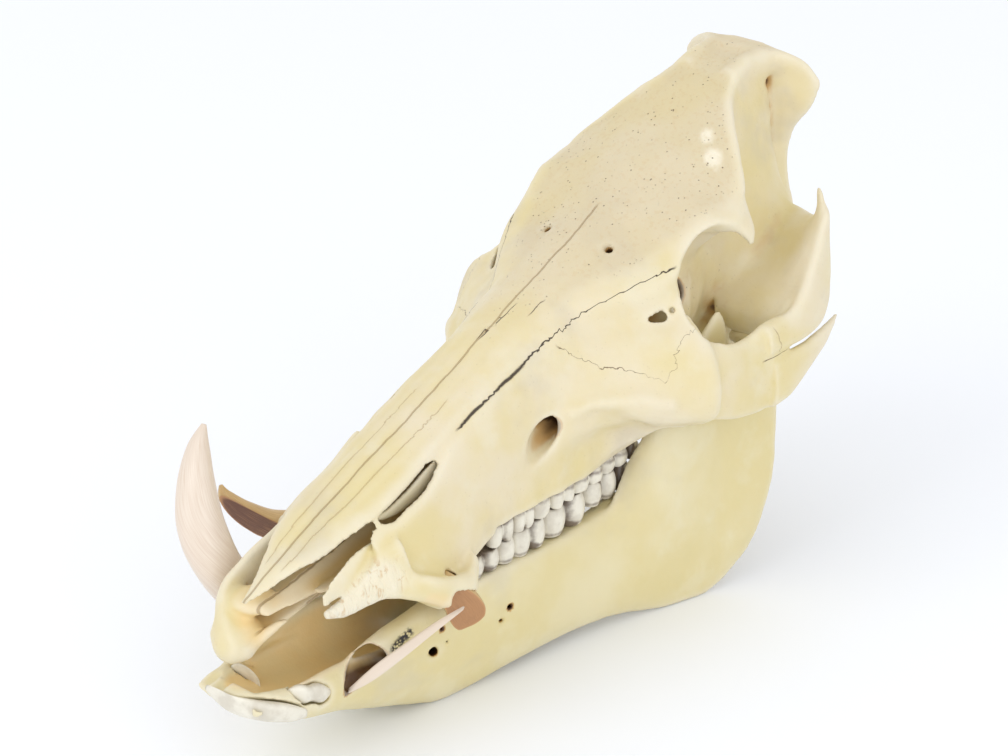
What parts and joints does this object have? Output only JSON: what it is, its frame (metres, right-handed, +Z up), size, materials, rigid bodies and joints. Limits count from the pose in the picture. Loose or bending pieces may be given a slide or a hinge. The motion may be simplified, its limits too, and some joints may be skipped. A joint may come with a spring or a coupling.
{
  "type": "wild boar skull",
  "caption": "Dry wild boar skull with its lower jaw in place, long curved tusks, open nose and orbits, a missing front bone and a broken tusk.",
  "frame": {"origin": "on the floor under the middle of the whole skull", "axes": "+X to the animal's left, +Y from the snout to the back of the head, +Z up"},
  "size_m": [0.1634, 0.3562, 0.244],
  "materials": {
    "bone": "dry cream bone, faint sheen",
    "jaw_bone": "dry cream bone, slightly yellower and smoother",
    "enamel": "grey-white worn enamel",
    "ivory": "pinkish ivory, satin",
    "stained_ivory": "brown stained ivory, satin"
  },
  "bodies": {
    "root": {"cranium": "bone", "mandible": "jaw_bone", "upper_premolar_2_left": "enamel", "upper_premolar_2_right": "enamel", "upper_premolar_3_left": "enamel", "upper_premolar_3_right": "enamel", "upper_premolar_4_left": "enamel", "upper_premolar_4_right": "enamel", "upper_molar_1_left": "enamel", "upper_molar_1_right": "enamel", "upper_molar_2_left": "enamel", "upper_molar_2_right": "enamel", "upper_molar_3_left": "enamel", "upper_molar_3_right": "enamel", "lower_premolar_2_left": "enamel", "lower_premolar_2_right": "enamel", "lower_premolar_3_left": "enamel", "lower_premolar_3_right": "enamel", "lower_premolar_4_left": "enamel", "lower_premolar_4_right": "enamel", "lower_molar_1_left": "enamel", "lower_molar_1_right": "enamel", "lower_molar_2_left": "enamel", "lower_molar_2_right": "enamel", "lower_molar_3_left": "enamel", "lower_molar_3_right": "enamel", "lower_tusk_right": "ivory", "lower_tusk_left_splinter": "ivory", "upper_tusk_right": "stained_ivory", "upper_tusk_left": "stained_ivory", "lower_incisor_left": "enamel", "lower_corner_incisor_left": "enamel", "lower_corner_incisor_right": "enamel"}
  },
  "joints": []
}
